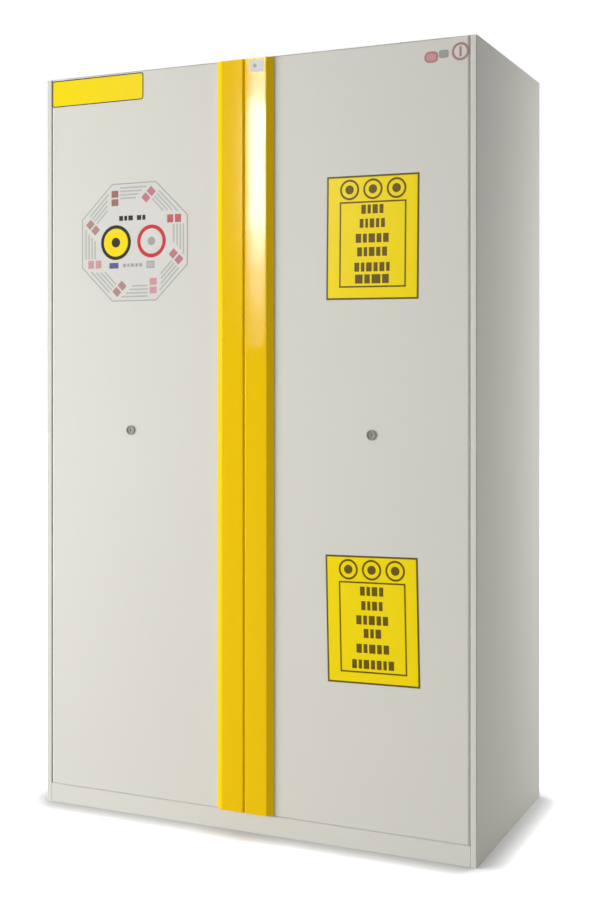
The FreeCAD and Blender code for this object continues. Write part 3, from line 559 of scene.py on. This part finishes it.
def buildBackRivets():
    # low domed rivets hold the back sheet, no prouder than the casing's folded edges
    low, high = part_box("back_casing")
    radius, tall = backRivets["radius"] * mm, backRivets["height"] * mm
    clearSelection()
    bpy.ops.mesh.primitive_cylinder_add(vertices=backRivets["sides"], radius=radius, depth=tall / 2,
                                        location=(0, 0, tall / 4))
    first = takePrimitive("rivet", (1, 1, 1))
    pickFaces(first, lambda centre, normal: normal.z > topFace)
    for inward, rise in backRivets["steps"]:
        bpy.ops.mesh.inset(thickness=radius * inward)
        bpy.ops.transform.translate(value=(0, 0, tall * rise))
    bpy.ops.object.mode_set(mode="OBJECT")
    first.rotation_euler = (-math.pi / 2, 0, 0)
    first.location = (0, high.y, 0)
    bpy.ops.object.transform_apply(location=True, rotation=True, scale=True)
    first.data.materials.append(finishes["steel_parts"])
    bpy.ops.object.shade_smooth_by_angle(angle=math.radians(backRivets["smooth"]))
    side, end = backRivets["fromEdge"] * mm, backRivets["fromEnd"] * mm
    heads = []
    for row in range(backRivets["rows"]):
        z = low.z + end + (high.z - low.z - 2 * end) * row / (backRivets["rows"] - 1)
        for x in (low.x + side, high.x - side):
            heads.append(copyTo(first, "rivet", (x, 0, z)))
    for column in range(1, backRivets["columns"]):
        x = low.x + side + (high.x - low.x - 2 * side) * column / backRivets["columns"]
        for z in (low.z + end, high.z - end):
            heads.append(copyTo(first, "rivet", (x, 0, z)))
    bpy.data.objects.remove(first)
    rivets = joinPieces("back_rivets", heads)
    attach(rivets, "carcass")


collarScrews = {"fromEdge": 8, "flange": 1.2, "places": ((-1, -1), (-1, 1), (1, -1), (1, 1), (0, -1), (0, 1))}


def buildCollarScrews():
    # six screws in the flange of each duct collar
    low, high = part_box("exhaust_spigots")
    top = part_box("top_casing")[1].z + collarScrews["flange"] * mm
    y = (low.y + high.y) / 2
    edge = collarScrews["fromEdge"] * mm
    half = (high.y - low.y) / 2 - edge
    first = buildPanHead("head", (0, y, top), finishes["steel_parts"])
    heads = []
    for x in (low.x + half + edge, high.x - half - edge):
        for dx, dy in collarScrews["places"]:
            heads.append(copyTo(first, "head", (x + dx * half, dy * half, 0)))
    bpy.data.objects.remove(first)
    screws = joinPieces("collar_screws", heads)
    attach(screws, "carcass")


lockRing = {"radius": 12.3, "inside": 9.2, "height": 0.9, "bevel": 0.35, "bevelSteps": 3,
            "sides": 64, "smooth": 35}


def buildLockRings():
    # the turned bead round each lock
    for side in ("left", "right"):
        low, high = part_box("lock_housing_" + side)
        clearSelection()
        bpy.ops.mesh.primitive_cylinder_add(vertices=lockRing["sides"], radius=lockRing["radius"] * mm,
                                            depth=lockRing["height"] * mm)
        ring = takePrimitive("lock_ring_" + side, (1, 1, 1))
        pickFaces(ring, lambda centre, normal: abs(normal.z) > topFace)
        bpy.ops.mesh.inset(thickness=(lockRing["radius"] - lockRing["inside"]) * mm)
        bpy.ops.mesh.bridge_edge_loops()
        bpy.ops.object.mode_set(mode="OBJECT")
        applyModifier(ring, "BEVEL", width=lockRing["bevel"] * mm, segments=lockRing["bevelSteps"],
                      limit_method="ANGLE")
        ring.rotation_euler = (math.pi / 2, 0, 0)
        ring.location = ((low.x + high.x) / 2, low.y - lockRing["height"] / 2 * mm, (low.z + high.z) / 2)
        bpy.ops.object.transform_apply(location=True, rotation=True, scale=True)
        bpy.ops.object.shade_smooth_by_angle(angle=math.radians(lockRing["smooth"]))
        ring.data.materials.append(finishes["lock_metal"])
        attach(ring, "door_" + side)


buildBackRivets()
buildCollarScrews()
buildLockRings()
print("small fittings built")


# Floor, backdrop, lamps and camera

room = {"floorGrey": 0.72, "floorRoughness": 0.9, "floorSpecular": 0.1, "floorSize": 40.0,
        "worldStrength": 0.19, "glowNear": 0.98, "glowFar": 1.0,
        "nearEdge": 1.0, "farEdge": 3.2, "paintedShadowReach": 0.09, "paintedShadowPower": 4.2}


def showsBackdrop(tree):
    # true for the rays that see the backdrop itself, in the picture, in gloss and through glass
    path = tree.nodes.new("ShaderNodeLightPath")
    seen = mathNode(tree, "MAXIMUM", path.outputs["Is Camera Ray"], path.outputs["Is Transmission Ray"])
    return mathNode(tree, "MAXIMUM", seen, path.outputs["Is Glossy Ray"])


def buildStage():
    # the floor takes the lamps' shadow near the object and fades to white away from it; its glow is also
    # dimmed by ambient occlusion, a painted contact shadow at the object's base
    clearSelection()
    bpy.ops.mesh.primitive_plane_add(size=room["floorSize"])
    floor = bpy.context.active_object
    floor.name = "floor"
    pale = bpy.data.materials.new("paleFloor")
    pale.use_nodes = True
    tree = pale.node_tree
    nodes, links = tree.nodes, tree.links
    shader = nodes["Principled BSDF"]
    shader.inputs["Base Color"].default_value = (room["floorGrey"],) * 3 + (1,)
    shader.inputs["Roughness"].default_value = room["floorRoughness"]
    shader.inputs["Specular IOR Level"].default_value = room["floorSpecular"]
    place = nodes.new("ShaderNodeTexCoord")
    reach = nodes.new("ShaderNodeVectorMath")
    reach.operation = "LENGTH"
    links.new(place.outputs["Object"], reach.inputs[0])
    fade = nodes.new("ShaderNodeMapRange")
    fade.interpolation_type = "SMOOTHSTEP"
    for label, key in (("From Min", "nearEdge"), ("From Max", "farEdge"), ("To Min", "glowNear"),
                       ("To Max", "glowFar")):
        fade.inputs[label].default_value = room[key]
    links.new(reach.outputs["Value"], fade.inputs["Value"])
    # painted contact shadow: the floor's glow is darkened by ambient occlusion close to the object
    contact = nodes.new("ShaderNodeAmbientOcclusion")
    contact.inputs["Distance"].default_value = room["paintedShadowReach"]
    paintedShadowDepth = mathNode(tree, "POWER", contact.outputs["AO"], room["paintedShadowPower"])
    clear = mathNode(tree, "MULTIPLY", fade.outputs["Result"], paintedShadowDepth)
    strength = mathNode(tree, "MULTIPLY", clear, showsBackdrop(tree))
    glow = nodes.new("ShaderNodeEmission")
    links.new(strength, glow.inputs["Strength"])
    total = nodes.new("ShaderNodeAddShader")
    links.new(shader.outputs[0], total.inputs[0])
    links.new(glow.outputs[0], total.inputs[1])
    links.new(total.outputs[0], nodes["Material Output"].inputs["Surface"])
    floor.data.materials.append(pale)


def buildWorld():
    # soft light on the object, plain white where the backdrop itself is seen
    world = bpy.data.worlds.new("studio")
    bpy.context.scene.world = world
    world.use_nodes = True
    nodes, links = world.node_tree.nodes, world.node_tree.links
    soft = nodes["Background"]
    soft.inputs["Color"].default_value = (1, 1, 1, 1)
    soft.inputs["Strength"].default_value = room["worldStrength"]
    white = nodes.new("ShaderNodeBackground")
    white.inputs["Color"].default_value = (1, 1, 1, 1)
    white.inputs["Strength"].default_value = 1
    pick = nodes.new("ShaderNodeMixShader")
    links.new(showsBackdrop(world.node_tree), pick.inputs["Fac"])
    links.new(soft.outputs[0], pick.inputs[1])
    links.new(white.outputs[0], pick.inputs[2])
    links.new(pick.outputs[0], nodes["World Output"].inputs["Surface"])


lamps = [
    {"name": "leftSoft", "at": (-5.4, -3.2, 0.95), "to": (0, 0, 0.8), "size": (2.4, 1.8), "power": 360},
    {"name": "frontSoft", "at": (-0.20, -3.9, 0.60), "to": (0.35, 0, 0.6), "size": (1.1, 1.5), "power": 32,
     "gloss": False},
    {"name": "topSoft", "at": (0.0, -0.6, 3.9), "to": (0, -0.1, 1.0), "size": (2.4, 2.0), "power": 12},
    {"name": "backRight", "at": (1.30, 1.20, 1.22), "to": (0.6, 0.5, 1.22), "size": (0.35, 2.3), "power": 20,
     "gloss": False},
    {"name": "backFill", "at": (-2.2, 4.2, 1.3), "to": (0, 0.3, 1.0), "size": (2.0, 2.0), "power": 14},
]
# each row has its lower and its upper height, and its power
handleStrips = {"x": -1.395, "y": -3.3, "width": 0.08, "target": (0.035, -0.3),
                "aimShare": 0.5, "aimBase": 0.58,
                "rows": [(1.30, 1.50, 1.2), (1.50, 1.70, 2.8), (1.70, 1.86, 4.8), (1.86, 2.50, 37.5),
                         (2.50, 2.90, 9.6)]}


def stripLamps():
    # one tall strip lamp in steps, strongest in its upper part, that the right handle mirrors
    values = handleStrips
    strips = []
    for low, high, power in values["rows"]:
        middle = (low + high) / 2
        aim = values["aimShare"] * middle + values["aimBase"]
        strips.append({"name": "handleStrip", "at": (values["x"], values["y"], middle),
                       "to": (*values["target"], aim), "size": (values["width"], high - low),
                       "power": power, "diffuse": False})
    return strips


def buildLamps(rows):
    # area lamps that look at a point; some give only gloss and some are not mirrored
    for lamp in rows:
        data = bpy.data.lights.new(lamp["name"], "AREA")
        data.shape = "RECTANGLE"
        data.size, data.size_y = lamp["size"]
        data.energy = lamp["power"]
        light = bpy.data.objects.new(lamp["name"], data)
        light.visible_diffuse = lamp.get("diffuse", True)
        light.visible_glossy = lamp.get("gloss", True)
        bpy.context.scene.collection.objects.link(light)
        light.location = lamp["at"]
        away = [b - a for a, b in zip(lamp["at"], lamp["to"])]
        flat = math.hypot(away[0], away[1])
        light.rotation_euler = (math.pi / 2 + math.atan2(away[2], flat), 0,
                                math.atan2(away[1], away[0]) - math.pi / 2)


cameraView = {"x": 1.514, "y": -3.383, "z": 1.161, "turn": 25.10, "focalPixels": 1363.6, "imageHeight": 900,
              "imageWidth": 607, "horizon": 371.9, "centre": 270.0, "sensor": 36, "clipEnd": 100}


def buildCamera():
    values = cameraView
    data = bpy.data.cameras.new("camera")
    data.sensor_width = values["sensor"]
    data.lens = values["focalPixels"] / values["imageHeight"] * values["sensor"]
    data.shift_y = (values["horizon"] - values["imageHeight"] / 2) / values["imageHeight"]
    data.shift_x = (values["imageWidth"] / 2 - values["centre"]) / values["imageHeight"]
    data.clip_end = values["clipEnd"]
    camera = bpy.data.objects.new("camera", data)
    bpy.context.scene.collection.objects.link(camera)
    camera.location = (values["x"], values["y"], values["z"])
    camera.rotation_euler = (math.pi / 2, 0, math.radians(values["turn"]))
    bpy.context.scene.camera = camera


buildStage()
buildWorld()
buildLamps(lamps + stripLamps())
buildCamera()
bpy.context.scene.view_settings.view_transform = "Standard"
print("stage, lamps and camera set")
